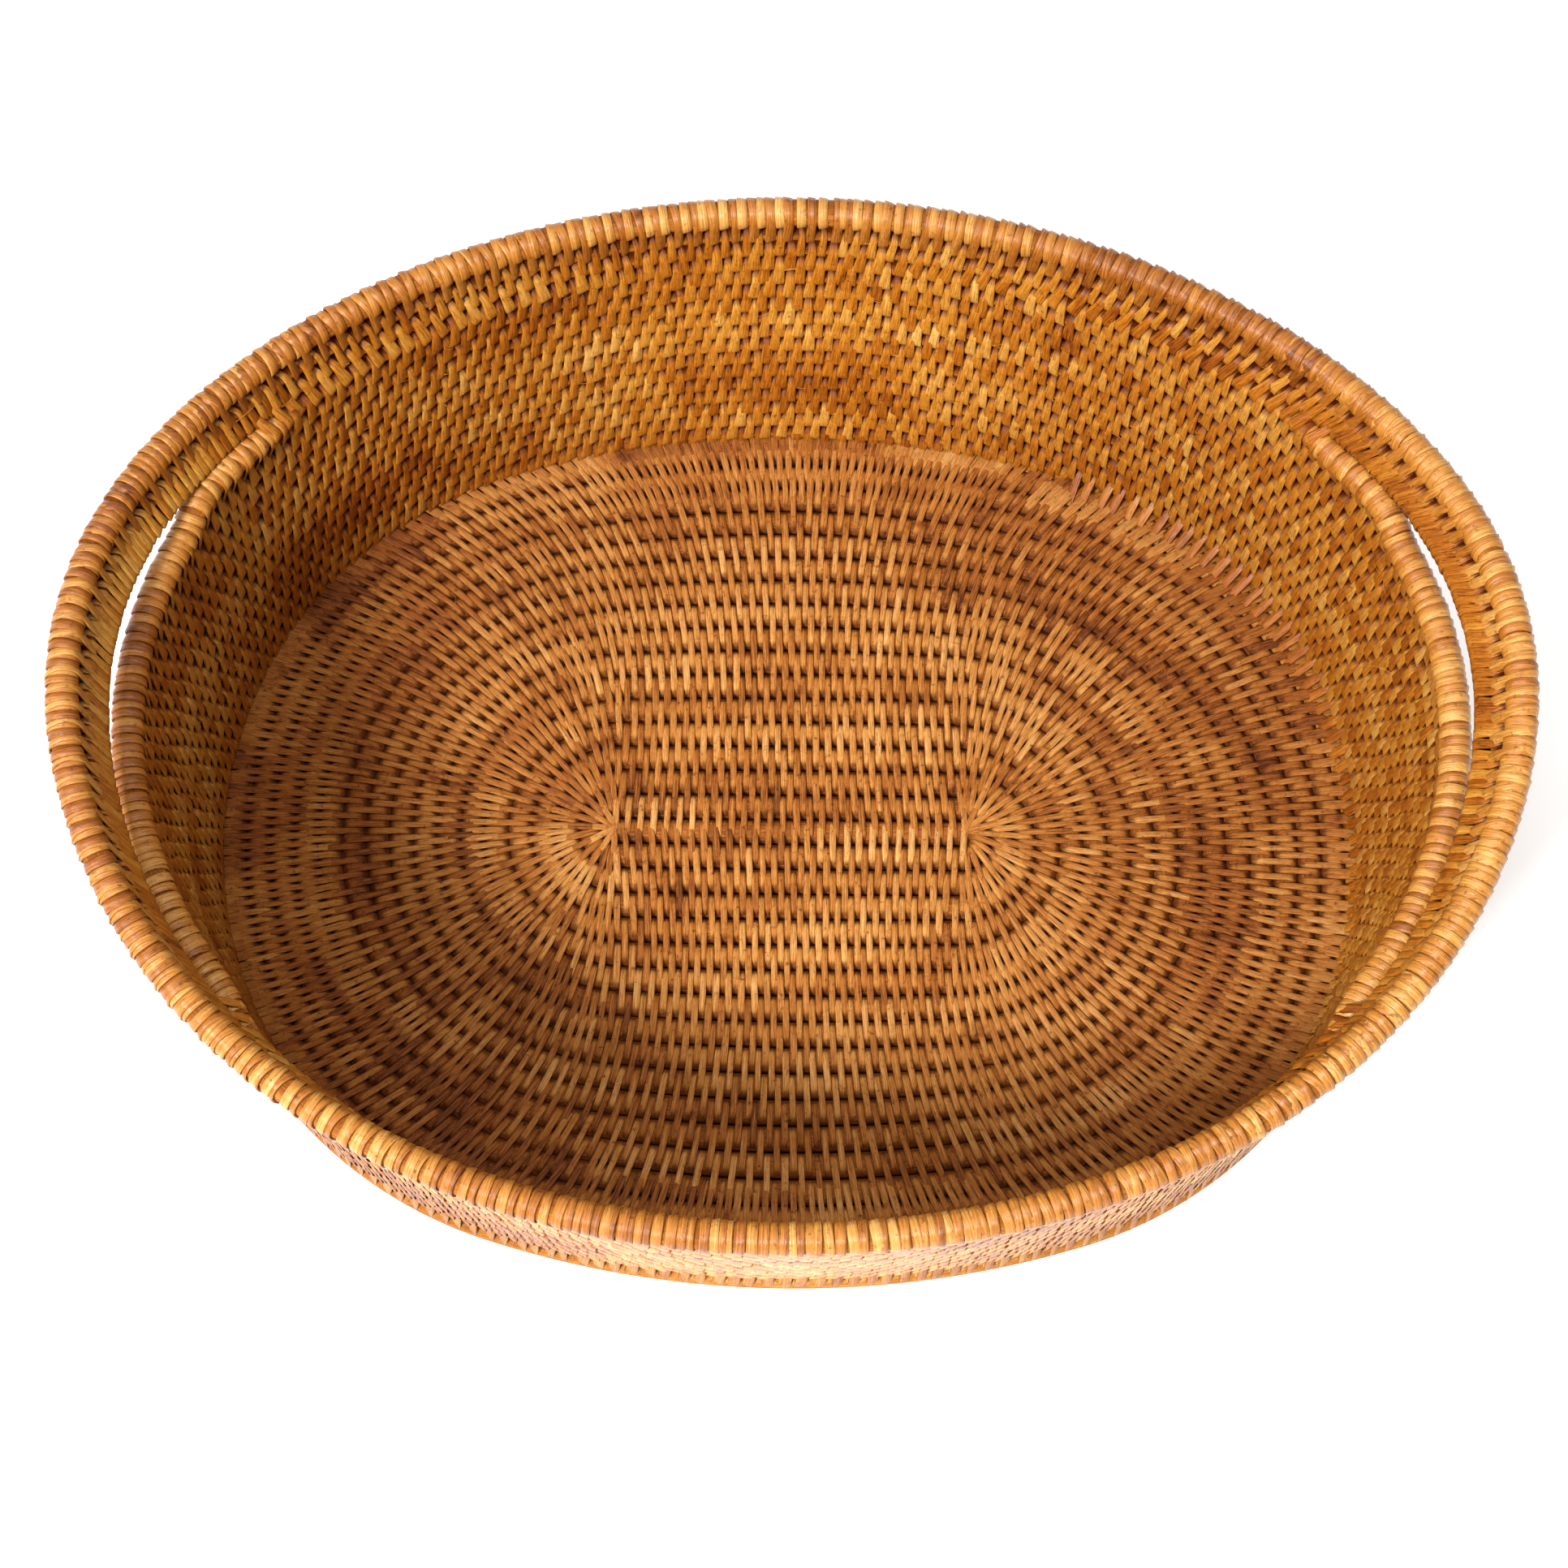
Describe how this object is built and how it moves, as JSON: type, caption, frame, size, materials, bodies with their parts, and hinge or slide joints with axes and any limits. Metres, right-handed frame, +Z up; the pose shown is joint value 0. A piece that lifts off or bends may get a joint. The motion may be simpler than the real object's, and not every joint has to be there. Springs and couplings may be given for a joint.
{
  "type": "oval rattan basket",
  "caption": "Oval coiled rattan basket with a wrapped rim and a hand opening under the rim at each end.",
  "frame": {"origin": "on the ground under the middle of the floor coils", "axes": "+Z up, +X along the basket's length towards the right-hand handle, +Y towards the back"},
  "size_m": [0.457, 0.3574, 0.1603],
  "materials": {
    "floor_weave": "satin",
    "wall_weave": "satin",
    "rim_wrap": "glossy",
    "rod": "matte"
  },
  "bodies": {
    "root": {"floor_spine": "floor_weave", "floor_coil_01": "floor_weave", "floor_coil_02": "floor_weave", "floor_coil_03": "floor_weave", "floor_coil_04": "floor_weave", "floor_coil_05": "floor_weave", "floor_coil_06": "floor_weave", "floor_coil_07": "floor_weave", "floor_coil_08": "floor_weave", "floor_coil_09": "floor_weave", "floor_coil_10": "floor_weave", "floor_coil_11": "floor_weave", "floor_coil_12": "floor_weave", "floor_coil_13": "floor_weave", "floor_coil_14": "floor_weave", "floor_coil_15": "floor_weave", "floor_coil_16": "floor_weave", "floor_coil_17": "floor_weave", "wall_coil_01": "wall_weave", "wall_coil_02": "wall_weave", "wall_coil_03": "wall_weave", "wall_coil_04": "wall_weave", "wall_coil_05": "wall_weave", "wall_coil_06": "wall_weave", "wall_coil_07": "wall_weave", "wall_coil_08": "wall_weave", "wall_coil_09": "wall_weave", "wall_coil_10": "wall_weave", "wall_coil_11": "wall_weave", "wall_coil_12": "wall_weave", "wall_coil_13": "wall_weave", "wall_coil_15": "wall_weave", "wall_coil_16": "wall_weave", "wall_coil_14_back": "wall_weave", "wall_coil_14_front": "wall_weave", "rim_core": "rod", "end_rim_core_left": "rod", "end_rim_core_right": "rod", "end_rim_wrap_left": "rim_wrap", "end_rim_wrap_right": "rim_wrap", "handle_wrap_left": "rim_wrap", "handle_wrap_right": "rim_wrap", "rim_wrap_back": "rim_wrap", "rim_wrap_front": "rim_wrap"}
  },
  "joints": []
}
